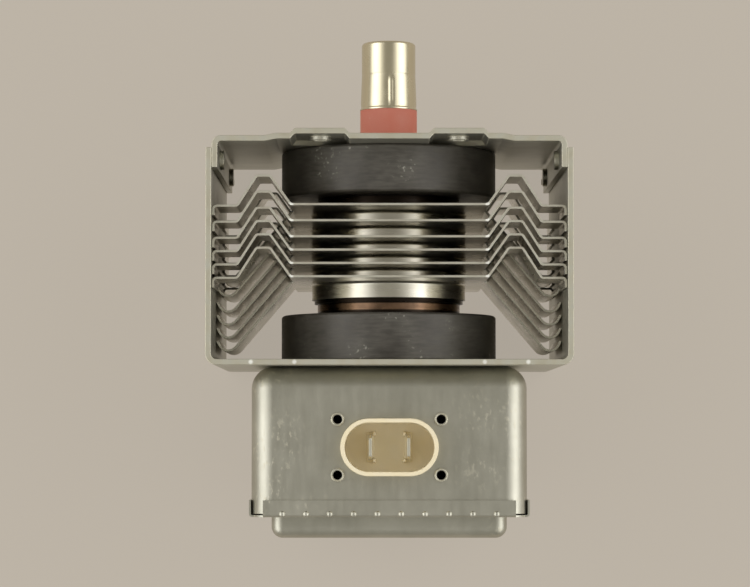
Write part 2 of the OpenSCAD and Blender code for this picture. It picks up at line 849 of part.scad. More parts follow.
module exhaust_tube() {
    color(copper)
    union() {
        ring_y(exhaust_foot_r, exhaust_r - exhaust_wall, ceramic_top, ceramic_top + exhaust_foot_t);
        ring_y(exhaust_r, exhaust_r - exhaust_wall, ceramic_top, pinch_foot);
        translate([pinch_w / 2, 0, 0])
            rotate([0, -90, 0])
                linear_extrude(pinch_w)
                    polygon([
                        [-exhaust_r, pinch_foot], [exhaust_r, pinch_foot],
                        [pinch_t / 2, pinch_top], [-pinch_t / 2, pinch_top]
                    ]);
    }
}

module antenna_lead() {
    y_vane = y_mid + vane_h / 2;
    y_bend = y_vane + lead_foot_h;
    path = [[lead_x, y_vane], [lead_x, y_bend], [0, y_bend + lead_slope_h], [0, pinch_foot]];
    color(copper)
    sheet_z(path, 2 * lead_t, lead_t, -lead_w / 2, lead_w / 2);
}

module antenna_cap() {
    r = cap_d / 2 - cap_t / 2;
    rim = cap_rim_d / 2 - cap_t / 2;
    top = ceramic_top + cap_h - cap_t / 2;
    color(nickel)
    spun(strip(concat(
        [[rim, ceramic_top], [rim, ceramic_top + cap_edge_h], [r, ceramic_top + cap_flare_h]],
        corner([r, ceramic_top], [r, top], [0, top], cap_top_r, 5),
        [[0, top]]
    ), cap_t));
}

// Cathode
filament_h = vane_h - 2 * fit_gap;
rod_r = rod_d / 2;
y_shield_top = y_mid + vane_h / 2 + shield_t;
y_shield_bottom = y_mid - vane_h / 2 - shield_t;
side_rod_x = shield_r - rod_r - 2 * fit_gap;

module cathode_filament() {
    wire_half = filament_wire / 2;
    pitch = (filament_h - filament_wire) / filament_turns;
    path = helix(filament_r, pitch, filament_turns, 12, 0);
    color(tungsten)
    translate([0, y_mid - filament_h / 2 + wire_half, 0])
        rotate([-90, 0, 0]) wire(path, wire_half, 6, [1, 0, 0]);
}

module upper_end_shield() {
    color(tungsten)
    round_y(shield_r, y_shield_top - shield_t, y_shield_top);
}

module lower_end_shield() {
    color(tungsten)
    ring_y(shield_r, rod_r + rod_clear, y_shield_bottom, y_shield_bottom + shield_t);
}

// A round rod through points in the plane of the stem's two leads
module rod(points) {
    path = [for (p = bent(points, 2 * rod_d, 4)) [p.x, p.y, 0]];
    wire(path, rod_r, 12, [0, 0, 1]);
}

rod_bend_top = y_lower - rod_straight;
rod_bend_bottom = rod_bend_top - rod_crank_h;
rod_end = y_stem - terminal_t;

module centre_rod() {
    color(tungsten)
    rod([
        [0, y_shield_top - shield_t], [0, rod_bend_top],
        [-rod_x, rod_bend_bottom], [-rod_x, rod_end]
    ]);
}

module side_rod() {
    color(tungsten)
    rod([
        [side_rod_x, y_shield_bottom], [side_rod_x, rod_bend_top],
        [rod_x, rod_bend_bottom], [rod_x, rod_end]
    ]);
}

module rod_holes(y0, y1) {
    both_sides() translate([rod_x, 0, 0]) round_y(rod_r + fit_gap, y0, y1);
}

module stem_ceramic() {
    color(ceramic_white)
    difference() {
        round_y(sleeve_r, y_stem, y_stem_top);
        round_y(sleeve_r - stem_wall, y_stem + stem_floor, y_stem_top + 1);
        rod_holes(y_stem - 1, y_stem_top);
    }
}

module stem_terminal() {
    pad_in = rod_x - rod_r - terminal_t;
    tag_in = tag_face - terminal_t;
    color(nickel)
    difference() {
        union() {
            translate([pad_in, y_stem - terminal_t, -tag_w / 2]) cube([tag_face - pad_in, terminal_t, tag_w]);
            translate([tag_in, y_stem - tag_h, -tag_w / 2]) cube([terminal_t, tag_h, tag_w]);
        }
        rod_holes(y_stem - terminal_t - 1, y_stem + 1);
    }
}

module stem_terminal_right() stem_terminal();
module stem_terminal_left() mirror([1, 0, 0]) stem_terminal();

// Filter box and lid
module eyelet_places() {
    translate([0, y_connector, 0])
        for (sx = [-1, 1])
            for (sy = [-1, 1])
                translate([sx * eyelet_spacing_x / 2, sy * eyelet_spacing_y / 2, 0]) children();
}

eyelet_r = eyelet_d / 2 + eyelet_wall;

module filter_box() {
    t = box_sheet;
    color(zinc)
    difference() {
        drawn_block(box_w, box_d, box_r, y_box_bottom, y_base);
        drawn_block(box_w - 2 * t, box_d - 2 * t, box_r - t, y_box_bottom - 1, y_base - t);
        round_y(plate_hole_r, y_base - box_r, y_base + 1);
        base_clinch_places() translate([0, 0, -1]) cylinder(d = clinch_d + 2 * fit_gap, h = t + 2);
        connector_oval(shroud_w + 2 * fit_gap, shroud_h + 2 * fit_gap, box_in - 1, box_front + 1);
        eyelet_places() translate([0, 0, box_in - 1]) cylinder(r = eyelet_r + fit_gap, h = t + 2);
    }
}

// One rim of the lid: half the floor, the bend and the upright, along a length of the other axis
module lid_rim(reach, length) {
    t = lid_sheet;
    y_floor = y_lid + t / 2;
    path = [[reach - box_r, y_floor], [reach + t / 2, y_floor], [reach + t / 2, y_lid + rim_h]];
    sheet_z(path, rim_bend_r, t, -length / 2, length / 2);
}

// A dimple: a domed button rooted in the middle of the sheet
module lid_dimple() {
    dome_r = (dimple_d * dimple_d / 4 + dimple_h * dimple_h) / (2 * dimple_h);
    intersection() {
        translate([0, 0, dimple_h - dome_r]) sphere(dome_r);
        translate([0, 0, -lid_sheet / 2]) cylinder(d = dimple_d, h = lid_sheet + dimple_h);
    }
}

// The dimples sit as low on the long rims as the bend and their own size let them
module lid_dimples() {
    row = dimple_pitch * (dimple_count - 1);
    y_row = y_lid + max(rim_bend_r + lid_sheet / 2, dimple_d / 2);
    for (s = [-1, 1])
        for (i = [0 : dimple_count - 1])
            translate([i * dimple_pitch - row / 2, y_row, s * (rim_in_z + lid_sheet)])
                rotate([s > 0 ? 0 : 180, 0, 0]) lid_dimple();
}

module filter_lid() {
    t = lid_sheet;
    inner_w = 2 * (bulge_x - t);
    inner_d = 2 * (bulge_z - t);
    color(zinc)
    difference() {
        union() {
            translate([0, y_lid, 0])
                rotate([-90, 0, 0]) linear_extrude(t) rounded_outline(box_w, box_d, box_r);
            translate([0, 2 * y_lid, 0])
                mirror([0, 1, 0])
                    drawn_block(2 * bulge_x, 2 * bulge_z, bulge_r, y_lid - t, y_lid + bulge_h);
            both_sides() lid_rim(rim_in_x, box_d - 2 * rim_notch);
            for (a = [90, -90]) rotate([0, a, 0]) lid_rim(rim_in_z, box_w - 2 * rim_notch);
            lid_dimples();
        }
        translate([0, 2 * y_lid, 0])
            mirror([0, 1, 0])
                drawn_block(inner_w, inner_d, bulge_r - t, y_lid - t - 1, y_lid + bulge_h - t);
    }
}

// Chokes
function choke_path() = concat(
    [
        [tag_face + wire_r + fit_gap, y_stem - tag_h + wire_r, 0],
        [tag_face + wire_r + fit_gap, y_stem - tag_h + wire_r, -tag_w / 2],
        [choke_x - 2.4 * choke_r, y_choke + 1.6 * choke_r, choke_rear / 2],
        [choke_x - 1.6 * choke_r, y_choke + 1.3 * choke_r, choke_rear + choke_pitch / 2],
        [choke_x - 1.1 * choke_r, y_choke + 0.6 * choke_r, choke_rear - choke_wire / 4]
    ],
    [
        for (p = helix(choke_r, choke_pitch, choke_turns, 16, 180))
            [choke_x + p.x, y_choke + p.y, choke_rear + p.z]
    ],
    [
        [choke_x - 1.05 * choke_r, y_choke - 0.6 * choke_r, choke_pitch / 3],
        [choke_x - 1.6 * choke_r, y_choke - 0.9 * choke_r, blade_end / 3],
        [blade_x + blade_t + wire_r + 1, y_connector - inner_tag_w, blade_end - wire_r],
        [blade_x + blade_t / 2 + wire_r + fit_gap, y_connector, blade_end + wire_r + fit_gap],
        [blade_x + blade_t / 2 + wire_r + fit_gap, y_connector + inner_tag_w / 2, blade_end + 2 * wire_r]
    ]
);

module choke_coil_right() {
    color(copper)
    wire(choke_path(), wire_r, 8, [0, 1, 0]);
}

module choke_coil_left() mirror([1, 0, 0]) choke_coil_right();

module choke_core_right() {
    color(ferrite)
    translate([choke_x, y_choke, choke_rear - core_out])
        cylinder(r = choke_r - wire_r - core_gap, h = -choke_rear + 2 * core_out);
}

module choke_core_left() mirror([1, 0, 0]) choke_core_right();

// Feed-through capacitor and connector
module blade_slots(w, z0, z1) {
    both_sides()
        translate([blade_x - blade_t / 2 - fit_gap, y_connector - w / 2 - fit_gap, z0])
            cube([blade_t + 2 * fit_gap, w + 2 * fit_gap, z1 - z0]);
}

module capacitor_outer_case() {
    color(cream)
    difference() {
        union() {
            connector_oval(shroud_w, shroud_h, flange_back, rim_front);
            connector_oval(case_w, case_h, flange_back, earth_back);
        }
        connector_oval(shroud_w - 2 * shroud_wall, shroud_h - 2 * shroud_wall, recess_floor, rim_front + 1);
        blade_slots(blade_w, flange_back + case_flange / 2, recess_floor + 1);
        blade_slots(inner_tag_w, flange_back - 1, recess_floor);
    }
}

module capacitor_earth_plate() {
    w = eyelet_spacing_x + 4 * eyelet_r;
    h = eyelet_spacing_y + 4 * eyelet_r;
    color(zinc)
    difference() {
        union() {
            translate([0, y_connector, earth_back])
                linear_extrude(earth_t) rounded_outline(w, h, 2 * eyelet_r);
            eyelet_places()
                translate([0, 0, box_in - eps]) cylinder(r = eyelet_r, h = box_sheet + 2 * eps);
            eyelet_places()
                translate([0, 0, box_front]) cylinder(r = eyelet_r + eyelet_flare, h = eyelet_wall);
        }
        connector_oval(shroud_w + 2 * fit_gap, shroud_h + 2 * fit_gap, earth_back - 1, rim_front);
        eyelet_places() translate([0, 0, earth_back - 1]) cylinder(d = eyelet_d, h = rim_front - earth_back);
    }
}

module capacitor_block() {
    color(ceramic_white)
    difference() {
        connector_oval(block_w, block_h, block_back, flange_back);
        blade_slots(inner_tag_w, block_back - 1, flange_back + 1);
    }
}

module capacitor_inner_case() {
    color(cream)
    difference() {
        connector_oval(case_w, case_h, inner_back, flange_back);
        connector_oval(
            case_w - 2 * inner_wall, case_h - 2 * inner_wall, inner_back + inner_wall, flange_back + 1
        );
        blade_slots(inner_tag_w, inner_back - 1, flange_back);
    }
}

// A blade: a chamfered tab in the recess and a narrower tag through the capacitor to the choke
module blade_outline() {
    half = blade_w / 2;
    tag = inner_tag_w / 2;
    shoulder = flange_back + case_flange / 2 + fit_gap;
    c = blade_chamfer;
    polygon([
        [blade_tip, -half + c], [blade_tip, half - c], [blade_tip - c, half], [shoulder, half],
        [shoulder, tag], [blade_end, tag], [blade_end, -tag], [shoulder, -tag],
        [shoulder, -half], [blade_tip - c, -half]
    ]);
}

module terminal_blade_right() {
    color(nickel)
    translate([blade_x + blade_t / 2, y_connector, 0])
        rotate([0, -90, 0]) linear_extrude(blade_t) blade_outline();
}

module terminal_blade_left() mirror([1, 0, 0]) terminal_blade_right();

yoke_bracket();
yoke_top_plate();
upper_magnet();
lower_magnet();
cooling_fin_1();
cooling_fin_2();
cooling_fin_3();
cooling_fin_4();
cooling_fin_5();
cooling_fin_6();
anode_cylinder();
anode_vanes();
upper_inner_strap();
upper_outer_strap();
lower_inner_strap();
lower_outer_strap();
upper_pole_piece();
lower_pole_piece();
upper_seal_cup();
lower_seal_cup();
antenna_ceramic();
exhaust_tube();
antenna_lead();
antenna_cap();
cathode_filament();
upper_end_shield();
lower_end_shield();
centre_rod();
side_rod();
stem_ceramic();
stem_terminal_left();
stem_terminal_right();
filter_box();
filter_lid();
choke_coil_left();
choke_coil_right();
choke_core_left();
choke_core_right();
capacitor_outer_case();
capacitor_earth_plate();
capacitor_block();
capacitor_inner_case();
terminal_blade_left();
terminal_blade_right();
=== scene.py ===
"""Looks of an oven magnetron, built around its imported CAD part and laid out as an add-on."""

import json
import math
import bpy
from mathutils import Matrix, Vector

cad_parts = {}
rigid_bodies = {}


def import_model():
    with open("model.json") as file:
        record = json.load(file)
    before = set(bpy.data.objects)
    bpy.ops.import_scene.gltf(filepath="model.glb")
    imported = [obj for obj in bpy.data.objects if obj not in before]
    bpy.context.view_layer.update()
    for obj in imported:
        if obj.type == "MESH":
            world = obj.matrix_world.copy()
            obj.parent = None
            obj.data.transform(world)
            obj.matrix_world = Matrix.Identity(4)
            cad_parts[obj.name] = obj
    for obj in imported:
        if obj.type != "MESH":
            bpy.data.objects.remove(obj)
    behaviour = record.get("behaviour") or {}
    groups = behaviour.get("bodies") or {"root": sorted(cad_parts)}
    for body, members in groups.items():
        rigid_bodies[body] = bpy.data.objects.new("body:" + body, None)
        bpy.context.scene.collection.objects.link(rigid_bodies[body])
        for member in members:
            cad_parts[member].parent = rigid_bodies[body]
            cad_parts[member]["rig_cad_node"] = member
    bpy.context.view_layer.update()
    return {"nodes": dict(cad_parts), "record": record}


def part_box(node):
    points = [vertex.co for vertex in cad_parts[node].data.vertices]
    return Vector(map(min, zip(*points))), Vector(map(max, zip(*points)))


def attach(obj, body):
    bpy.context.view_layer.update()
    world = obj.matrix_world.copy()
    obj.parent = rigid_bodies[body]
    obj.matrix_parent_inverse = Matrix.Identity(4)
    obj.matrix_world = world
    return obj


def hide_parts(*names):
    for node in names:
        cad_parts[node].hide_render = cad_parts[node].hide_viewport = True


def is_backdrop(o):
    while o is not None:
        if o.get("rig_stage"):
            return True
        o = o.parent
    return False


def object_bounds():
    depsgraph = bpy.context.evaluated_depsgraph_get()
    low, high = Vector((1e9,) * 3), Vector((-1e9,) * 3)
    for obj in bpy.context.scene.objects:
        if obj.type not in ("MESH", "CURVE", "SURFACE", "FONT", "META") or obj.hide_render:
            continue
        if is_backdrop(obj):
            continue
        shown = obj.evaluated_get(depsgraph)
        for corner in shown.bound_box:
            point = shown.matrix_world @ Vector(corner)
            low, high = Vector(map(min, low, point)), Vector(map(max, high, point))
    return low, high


bl_info = {
    "name": "Magnetron looks",
    "version": (1, 0, 0),
    "blender": (4, 5, 0),
    "location": "View3D > Sidebar > Magnetron",
    "description": "Finishes, rounded edges and small parts of an oven magnetron, with its stage",
    "category": "Object",
}

import bmesh
import bpy
from mathutils import Matrix, Vector

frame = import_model()
MM = 0.001
WELD = 0.002 * MM
FLAT = math.radians(1)
SHARP = math.radians(35)
FLOOR_GLOW = 0.8
# Sockets of a Mix node, by number because their names repeat: for colours, then for plain values
SHARE, COLOUR_A, COLOUR_B, MIXED = 0, 6, 7, 2
VALUE_A, VALUE_B = 2, 3


def linear(hex_colour):
    """sRGB hex to the linear red, green, blue and alpha that a socket takes."""
    parts = [int(hex_colour[i : i + 2], 16) / 255 for i in (1, 3, 5)]
    return [p / 12.92 if p <= 0.04045 else ((p + 0.055) / 1.055) ** 2.4 for p in parts] + [1.0]


def colour_prop(name, hex_colour, description):
    """A colour that a user may change."""
    return bpy.props.FloatVectorProperty(
        name=name,
        description=description,
        subtype="COLOR",
        size=4,
        min=0,
        max=1,
        default=linear(hex_colour),
    )


def length_prop(name, millimetres, description):
    """A length that a user may change, its default given in millimetres."""
    return bpy.props.FloatProperty(
        name=name, description=description, unit="LENGTH", default=millimetres * MM
    )


class MagnetronColours(bpy.types.PropertyGroup):
    """Colours of the finishes and of the stage."""

    zinc: colour_prop("Zinc plate", "#C1BFB2", "Pale grey of the plated sheet steel")
    zinc_dull: colour_prop("Dull zinc", "#B1AFA2", "Greener grey where the plate has dulled")
    bare_steel: colour_prop("Bare steel", "#CCC7B4", "Bright steel on sheared and worn edges")
    aluminium: colour_prop("Aluminium", "#E4E0D4", "Pale metal of the cooling fins")
    aluminium_dull: colour_prop("Dull aluminium", "#C6C1B2", "Warmer grey of handled fins")
    ferrite: colour_prop("Ferrite", "#4C4842", "Charcoal of the ring magnets")
    ferrite_dust: colour_prop("Ferrite dust", "#B2AFA4", "Pale grey of rubbed spots on a magnet")
    copper: colour_prop("Copper", "#8A6E58", "Turned copper of the anode")
    tarnish: colour_prop("Tarnish", "#4A3C31", "Brown of tarnished copper")
    nickel: colour_prop("Nickel", "#D8CFB4", "Warm bright metal of the cap and the blades")
    alumina: colour_prop("Pink alumina", "#C97663", "Terracotta pink of the antenna's ceramic")
    pale_alumina: colour_prop("White alumina", "#E6E0D4", "Off-white of the stem's ceramic")
    resin: colour_prop("Cream resin", "#EBDEBC", "Cream of the connector's moulding")
    iron: colour_prop("Soft iron", "#8C8A86", "Grey of the pole pieces")
    tungsten: colour_prop("Tungsten", "#77777C", "Dark grey of the cathode's metal")
    # Painted highlight: near-white colour of the glints painted onto cut edges
    nick: colour_prop("Nick", "#FFFFF8", "Bright spot on a cut edge")
    # Soot of the seal cups, and also the painted shade on the anode's copper
    soot_and_shade: colour_prop("Soot", "#1D1A17", "Black of the metal that the furnace burnt")
    floor: colour_prop("Floor", "#BDB4A7", "Pale warm grey of the table")
    studio: colour_prop("Studio", "#A09D95", "Warm grey of the room round the table")


class MagnetronSizes(bpy.types.PropertyGroup):
    """Sizes of the small forms that the looks add, with the camera and the lights."""

    sheet_edge: length_prop("Sheet edge", 0.2, "Rounding of the edges of the yoke's sheet")
    fin_edge: length_prop("Fin edge", 0.07, "Rounding of the fins' sheared edges")
    box_edge: length_prop("Box edge", 0.12, "Rounding of the edges of the box")
    magnet_edge: length_prop("Magnet edge", 0.2, "Rounding of the magnets' chamfers")
    moulding_edge: length_prop("Moulding edge", 0.25, "Rounding of the connector's rim")
    blade_edge: length_prop("Blade edge", 0.12, "Rounding of the blades' edges")
    ceramic_edge: length_prop("Ceramic edge", 0.15, "Rounding of the ceramic's edges")
    cap_radius: length_prop("Cap radius", 7.3, "Radius of the cap's straight upper half")
    cap_flare: length_prop("Cap flare", 9.5, "Height of the cap's flared lower half")
    cap_wall: length_prop("Cap wall", 0.4, "Wall of the cap")
    cap_corner: length_prop("Cap corner", 0.9, "Radius of the cap's top edge")
    crease_x: length_prop("Crease place", 0.5, "Distance of the cap's crease from the middle")
    crease_depth: length_prop("Crease depth", 0.3, "Depth of the crease in the cap's lower half")
    crease_half: length_prop("Crease half", 0.95, "Reach of the crease to each side")
    eyelet_x: length_prop("Eyelet place across", 13.5, "Distance of the eyelets from the middle")
    eyelet_y: length_prop("Eyelet place along", 7.25, "Distance of the eyelets from the connector's middle")
    eyelet_hole: length_prop("Eyelet hole", 1.2, "Radius of the hole in an eyelet")
    eyelet_rim: length_prop("Eyelet rim", 1.85, "Outer radius of an eyelet's rolled rim")
    eyelet_height: length_prop("Eyelet height", 0.45, "Height of the rolled rim above the box")
    seat_width: length_prop("Seat width", 2.2, "Width of the moulded seat round a blade")
    seat_length: length_prop("Seat length", 8.0, "Length of that seat")
    seat_height: length_prop("Seat height", 0.4, "Height of that seat above the recess floor")
    boss_x: length_prop("Boss place across", 1.0, "Distance of a boss from its blade, towards the middle")
    boss_y: length_prop("Boss place along", 3.45, "Distance of a boss from the blade's middle")
    boss_width: length_prop("Boss width", 0.9, "Width of a moulded boss beside a blade")
    boss_length: length_prop("Boss length", 1.3, "Length of that boss")
    boss_height: length_prop("Boss height", 3.0, "Height of that boss above the recess floor")
    recess_depth: length_prop("Recess depth", 10.0, "Depth of the connector's recess")
    camera_x: length_prop("Camera across", -4.5, "Place of the camera across the part")
    camera_y: length_prop("Camera along", -79.84, "Place of the camera along the part")
    camera_z: length_prop("Camera height", 776, "Height of the camera over the tube's axis")
    aim_x: length_prop("Aim across", -3.67, "Point on the table that the camera looks at, across the part")
    aim_y: length_prop("Aim along", -38.83, "Point on the table that the camera looks at, along the part")
    lens: bpy.props.FloatProperty(
        name="Lens", description="Focal length of the camera", unit="CAMERA", default=137.4
    )
    softbox_power: bpy.props.FloatProperty(
        name="Softbox power", description="Power of each softbox", unit="POWER", default=11.2
    )
    fill_power: bpy.props.FloatProperty(
        name="Fill power", description="Power of each fill light over a softbox", unit="POWER", default=1.3
    )


def colours():
    return bpy.context.scene.magnetron_colours


def sizes():
    return bpy.context.scene.magnetron_sizes


def fin_names():
    """Names of the cooling fins' nodes, in order."""
    return sorted(name for name in frame["nodes"] if name.startswith("cooling_fin_"))


def per_mm(size):
    """Pattern scale that gives features of about this many millimetres on Object coordinates."""
    return 1 / (size * MM)


def add(material, kind, inputs, out=0, **settings):
    """Adds a node with its settings and its inputs, each a value or a feeding socket; returns an output."""
    tree = material.node_tree
    made = tree.nodes.new("ShaderNode" + kind)
    for name, value in settings.items():
        setattr(made, name, value)
    for name, value in inputs.items():
        if isinstance(value, bpy.types.NodeSocket):
            tree.links.new(value, made.inputs[name])
        else:
            made.inputs[name].default_value = value
    return made.outputs[out] if made.outputs else None


def finish(recipe):
    """The material that a recipe builds, made the first time it is asked for."""
    name = recipe.__name__
    material = bpy.data.materials.get(name)
    if material is None:
        material = bpy.data.materials.new(name)
        material.use_nodes = True
        material.node_tree.nodes.clear()
        add(material, "OutputMaterial", {"Surface": recipe(material)})
    return material


def plated_sheet(m, grain, clean_to):
    """Cold-rolled steel under a thin zinc plate: soft grey reflections in faint rolling streaks, cloudy
    dull patches, a sheet that isn't quite flat, and small bright flecks on its handled sides, which begin
    clean_to millimetres from the middle."""
    place = add(m, "TexCoord", {}, "Object")
    along = add(m, "Mapping", {"Vector": place, "Scale": grain})
    streaks = add(m, "TexNoise", {"Vector": along, "Scale": per_mm(1.6), "Detail": 5.0})
    clouds = add(m, "TexNoise", {"Vector": place, "Scale": per_mm(12), "Detail": 5.0, "Roughness": 0.6})
    dull = add(m, "MapRange", {"Value": clouds, "From Min": 0.3, "From Max": 0.7})
    plate = add(
        m,
        "Mix",
        {SHARE: dull, COLOUR_A: colours().zinc, COLOUR_B: colours().zinc_dull},
        MIXED,
        data_type="RGBA",
    )
    marks = add(m, "Mapping", {"Vector": place, "Rotation": (0, 0, 0.35), "Scale": (1, 0.55, 1)})
    lines = add(m, "TexNoise", {"Vector": marks, "Scale": per_mm(0.8), "Detail": 3.0})
    bright = add(m, "MapRange", {"Value": lines, "From Min": 0.56, "From Max": 0.66})
    across = add(m, "SeparateXYZ", {0: place}, "X")
    aside = add(m, "Math", {0: across}, operation="ABSOLUTE")
    handled = add(m, "MapRange", {"Value": aside, "From Min": clean_to * MM, "From Max": 2 * clean_to * MM})
    zones = add(m, "TexNoise", {"Vector": place, "Scale": per_mm(11), "Detail": 2.0})
    patch = add(m, "MapRange", {"Value": zones, "From Min": 0.4, "From Max": 0.58, "To Max": 0.55})
    worn = add(m, "Math", {0: patch, 1: handled}, operation="MULTIPLY")
    scuff = add(m, "Math", {0: bright, 1: worn}, operation="MULTIPLY")
    colour = add(
        m,
        "Mix",
        {SHARE: scuff, COLOUR_A: plate, COLOUR_B: colours().bare_steel},
        MIXED,
        data_type="RGBA",
    )
    satin = add(
        m,
        "MapRange",
        {"Value": streaks, "From Min": 0.3, "From Max": 0.7, "To Min": 0.38, "To Max": 0.45},
    )
    rough = add(m, "Mix", {SHARE: scuff, VALUE_A: satin, VALUE_B: 0.62})
    waves = add(m, "TexNoise", {"Vector": place, "Scale": per_mm(22), "Detail": 1.0})
    sheet = add(m, "Bump", {"Height": waves, "Strength": 0.25, "Distance": 1.2 * MM})
    skin = add(m, "Bump", {"Height": streaks, "Strength": 0.05, "Distance": 0.05 * MM, "Normal": sheet})
    scored = add(m, "Bump", {"Height": scuff, "Strength": 0.4, "Distance": 0.06 * MM, "Normal": skin})
    return add(
        m, "BsdfPrincipled", {"Base Color": colour, "Metallic": 1.0, "Roughness": rough, "Normal": scored}
    )


def zinc_plated_yoke(m):
    """The yoke's thick sheet: its rolling streaks run across the part."""
    return plated_sheet(m, grain=(0.12, 1, 1), clean_to=40)


def zinc_plated_box(m):
    """The box's thin sheet: drawn deep, so its streaks run along the tube."""
    return plated_sheet(m, grain=(1, 0.12, 1), clean_to=13)


def cut_edge(m, fresh, worn, painted_glints):
    """The cut edge of a sheet: torn metal, so coarse that it gathers light from all sides and looks paler
    than the faces, with painted highlights: bright round glints at the given distances across and along
    from the origin."""
    glint_core, glint_rim = 0.3 * MM, 0.75 * MM
    place = add(m, "TexCoord", {}, "Object")
    torn = add(m, "TexNoise", {"Vector": place, "Scale": per_mm(3), "Detail": 3.0})
    shade = add(m, "MapRange", {"Value": torn, "From Min": 0.35, "From Max": 0.7})
    colour = add(m, "Mix", {SHARE: shade, COLOUR_A: fresh, COLOUR_B: worn}, MIXED, data_type="RGBA")
    folded = add(m, "VectorMath", {0: place}, operation="ABSOLUTE")
    flat = add(m, "VectorMath", {0: folded, 1: (1, 1, 0)}, operation="MULTIPLY")
    # Painted highlights: each glint is a near-white round spot mixed into the edge's colour
    for across, along in painted_glints:
        away = add(m, "VectorMath", {0: flat, 1: (across, abs(along), 0)}, "Value", operation="DISTANCE")
        far = add(m, "MapRange", {"Value": away, "From Min": glint_core, "From Max": glint_rim})
        colour = add(
            m,
            "Mix",
            {SHARE: far, COLOUR_A: colours().nick, COLOUR_B: colour},
            MIXED,
            data_type="RGBA",
        )
    rough = add(
        m,
        "MapRange",
        {"Value": torn, "From Min": 0.3, "From Max": 0.7, "To Min": 0.45, "To Max": 0.62},
    )
    skin = add(m, "Bump", {"Height": torn, "Strength": 0.15, "Distance": 0.05 * MM})
    return add(
        m,
        "BsdfPrincipled",
        {"Base Color": colour, "Metallic": 1.0, "Roughness": rough, "Normal": skin},
    )


def sheared_steel(m):
    """Cut edges of the steel sheet, with two painted highlights, bright glints, on each half of the yoke's
    base.
    """
    half_sheet = 0.75 * MM
    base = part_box("filter_box")[1].y + half_sheet
    places = (24.5 * MM, 35.7 * MM)
    return cut_edge(m, colours().bare_steel, colours().zinc, [(place, base) for place in places])


def mill_aluminium(m):
    """Thin rolled aluminium as it left the mill: smooth satin reflections, a little duller in places."""
    place = add(m, "TexCoord", {}, "Object")
    clouds = add(m, "TexNoise", {"Vector": place, "Scale": per_mm(9), "Detail": 2.0})
    dull = add(m, "MapRange", {"Value": clouds, "From Min": 0.3, "From Max": 0.75})
    colour = add(
        m,
        "Mix",
        {SHARE: dull, COLOUR_A: colours().aluminium, COLOUR_B: colours().aluminium_dull},
        MIXED,
        data_type="RGBA",
    )
    along = add(m, "Mapping", {"Vector": place, "Scale": (0.08, 1, 0.08)})
    lines = add(m, "TexNoise", {"Vector": along, "Scale": per_mm(1.5), "Detail": 1.0})
    rough = add(
        m,
        "MapRange",
        {"Value": lines, "From Min": 0.3, "From Max": 0.7, "To Min": 0.26, "To Max": 0.31},
    )
    skin = add(m, "Bump", {"Height": clouds, "Strength": 0.06, "Distance": 0.2 * MM})
    return add(
        m,
        "BsdfPrincipled",
        {"Base Color": colour, "Metallic": 1.0, "Roughness": rough, "Normal": skin},
    )


def sheared_aluminium(m):
    """The fins' cut edges, with painted highlights: bright glints where the wings were bent off the flat.
    """
    crest, bend = 7.7 * MM, 25.4 * MM
    planes = [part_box(name)[1].y - crest for name in fin_names()]
    return cut_edge(m, colours().aluminium_dull, colours().zinc, [(bend, plane) for plane in planes])


def ground_ferrite(m):
    """Pressed and ground hard ferrite: charcoal with a dull sheen, fine grinding lines round the rim,
    mottled grain and a few pale rubbed spots."""
    place = add(m, "TexCoord", {}, "Object")
    grain = add(m, "TexNoise", {"Vector": place, "Scale": per_mm(1.1), "Detail": 4.0})
    zones = add(m, "TexNoise", {"Vector": place, "Scale": per_mm(9), "Detail": 3.0})
    spots = add(m, "MapRange", {"Value": grain, "From Min": 0.6, "From Max": 0.72})
    patch = add(m, "MapRange", {"Value": zones, "From Min": 0.56, "From Max": 0.68})
    rubbed = add(m, "Math", {0: spots, 1: patch}, operation="MULTIPLY")
    mottle = add(m, "MapRange", {"Value": zones, "From Min": 0.3, "From Max": 0.7, "To Max": 0.14})
    body = add(
        m,
        "Mix",
        {SHARE: mottle, COLOUR_A: colours().ferrite, COLOUR_B: colours().ferrite_dust},
        MIXED,
        data_type="RGBA",
    )
    colour = add(
        m,
        "Mix",
        {SHARE: rubbed, COLOUR_A: body, COLOUR_B: colours().ferrite_dust},
        MIXED,
        data_type="RGBA",
    )
    across = add(m, "Mapping", {"Vector": place, "Scale": (0.2, 1, 0.2)})
    lines = add(m, "TexNoise", {"Vector": across, "Scale": per_mm(0.7), "Detail": 4.0})
    dark = add(
        m,
        "MapRange",
        {"Value": lines, "From Min": 0.35, "From Max": 0.65, "To Min": 0.75, "To Max": 1.1},
    )
    scored = add(m, "VectorMath", {0: colour, "Scale": dark}, operation="SCALE")
    rough = add(
        m,
        "MapRange",
        {"Value": lines, "From Min": 0.3, "From Max": 0.7, "To Min": 0.38, "To Max": 0.56},
    )
    skin = add(m, "Bump", {"Height": lines, "Strength": 0.25, "Distance": 0.05 * MM})
    return add(
        m, "BsdfPrincipled", {"Base Color": scored, "Metallic": 0.25, "Roughness": rough, "Normal": skin}
    )


